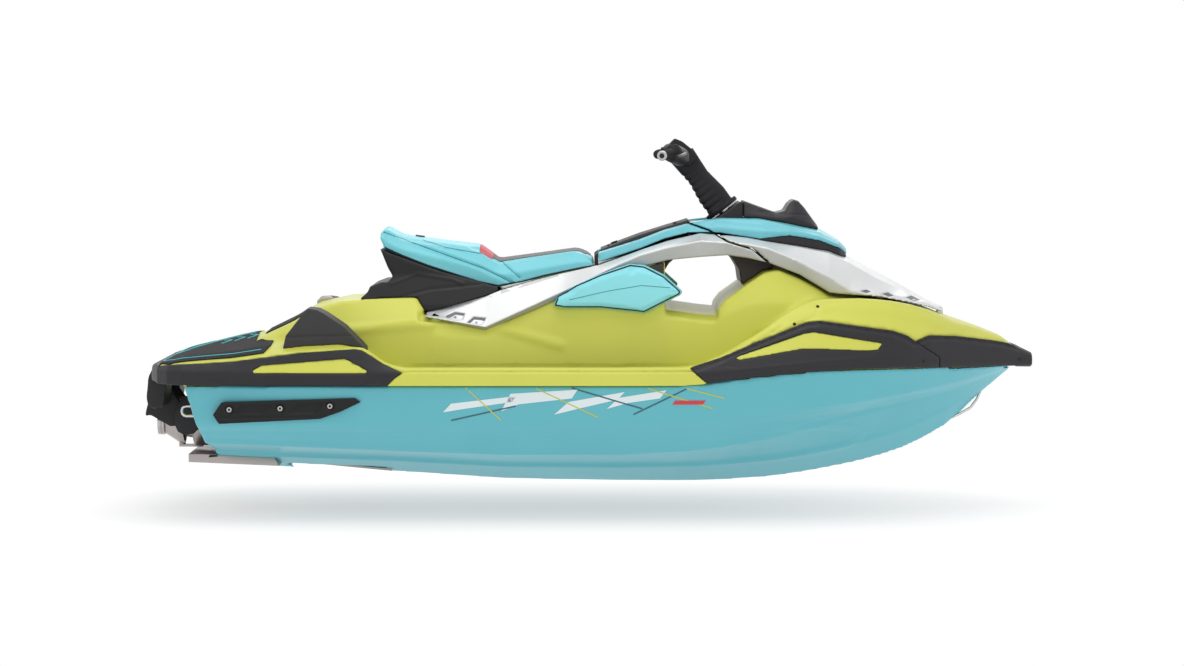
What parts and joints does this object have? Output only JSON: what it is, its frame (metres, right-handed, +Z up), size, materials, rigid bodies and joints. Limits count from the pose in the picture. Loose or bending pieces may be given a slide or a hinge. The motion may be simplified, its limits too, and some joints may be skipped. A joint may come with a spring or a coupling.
{
  "type": "personal watercraft",
  "caption": "Sit-down personal watercraft with a vee hull, moulded deck, arch frame over a see-through gap, stepped seat, hinged hood and a jet pump with steering nozzle and reverse bucket.",
  "frame": {"origin": "on the centreline amidships, at the waterline of the empty craft afloat", "axes": "+X forward to the bow, +Y to port, +Z up"},
  "size_m": [3.1396, 1.14, 1.218],
  "materials": {
    "hull_gelcoat": "glossy turquoise moulding",
    "deck_gelcoat": "glossy lime yellow moulding",
    "black_plastic": "grained charcoal plastic",
    "white_panel": "glossy silver white panel",
    "dark_liner": "dark brown inner panel",
    "black_pad": "dark textured pad",
    "seat_vinyl": "turquoise seat vinyl",
    "knee_pad_foam": "light turquoise padding",
    "cast_aluminium": "cast finish",
    "rubber_black": "black rubber",
    "steel": "stainless",
    "nylon": "bearing plastic",
    "bar_aluminium": "black anodised",
    "engine_paint": "satin dark grey"
  },
  "bodies": {
    "craft": {"hull": "hull_gelcoat", "deck": "deck_gelcoat", "front_bumpers": "black_plastic", "front_inserts": "deck_gelcoat", "nose_bumper": "black_plastic", "rear_bumper": "black_plastic", "rear_inserts": "deck_gelcoat", "rub_rails": "deck_gelcoat", "arch_left": "white_panel", "arch_right": "white_panel", "arch_liner": "dark_liner", "hood_hinge": "steel", "column_surround": "black_plastic", "tank_pad": "black_pad", "tank_covers": "hull_gelcoat", "tail_fairing": "black_plastic", "knee_pads": "knee_pad_foam", "foot_chocks": "black_plastic", "stern_pads": "black_plastic", "sponsons": "black_plastic", "ride_plate": "cast_aluminium", "column_bush": "nylon", "pump_housing": "cast_aluminium", "tail_cone": "cast_aluminium", "bucket_brackets": "cast_aluminium", "intake_grate": "cast_aluminium", "engine_block": "engine_paint", "bow_eye": "steel", "stern_eyes": "steel", "tow_hook": "steel"},
    "hood": {"hood_cover": "white_panel", "cowl": "hull_gelcoat", "visor": "black_plastic"},
    "seat": {"seat": "seat_vinyl"},
    "glovebox_lid": {"glovebox_lid": "black_pad"},
    "steering": {"handlebar_riser": "rubber_black", "steering_column": "steel", "handlebar": "bar_aluminium", "grips": "rubber_black", "switch_pods": "black_plastic", "levers": "bar_aluminium"},
    "nozzle": {"steering_nozzle": "cast_aluminium"},
    "reverse_bucket": {"reverse_bucket": "black_plastic"},
    "impeller": {"impeller": "steel", "drive_shaft": "steel"}
  },
  "joints": [
    {"name": "steering", "type": "hinge", "parent": "craft", "child": "steering", "pos_m": [0.47, 0, 0.728], "axis": [-0.6018, 0, 0.7986], "range_deg": [-24, 24]},
    {"name": "nozzle_yaw", "type": "hinge", "parent": "craft", "child": "nozzle", "pos_m": [-1.45, 0, -0.03], "axis": [0, 0, 1], "range_deg": [-20.4, 20.4]},
    {"name": "bucket_tilt", "type": "hinge", "parent": "craft", "child": "reverse_bucket", "pos_m": [-1.42, 0, -0.01], "axis": [0, -1, 0], "range_deg": [0, 50]},
    {"name": "impeller_spin", "type": "hinge", "parent": "craft", "child": "impeller", "pos_m": [-1.2, 0, -0.03], "axis": [1, 0, 0], "continuous": true},
    {"name": "hood_hinge", "type": "hinge", "parent": "craft", "child": "hood", "pos_m": [1.244, 0, 0.376], "axis": [0, 1, 0], "range_deg": [0, 60]},
    {"name": "seat_hinge", "type": "hinge", "parent": "craft", "child": "seat", "pos_m": [0.024, 0, 0.585], "axis": [0, 1, 0], "range_deg": [0, 50]},
    {"name": "glovebox_hinge", "type": "hinge", "parent": "craft", "child": "glovebox_lid", "pos_m": [0.294, 0, 0.668], "axis": [0, 1, 0], "range_deg": [0, 70]}
  ],
  "couplings": [
    {"joint": "nozzle_yaw", "follows": "steering", "ratio": -0.85}
  ]
}
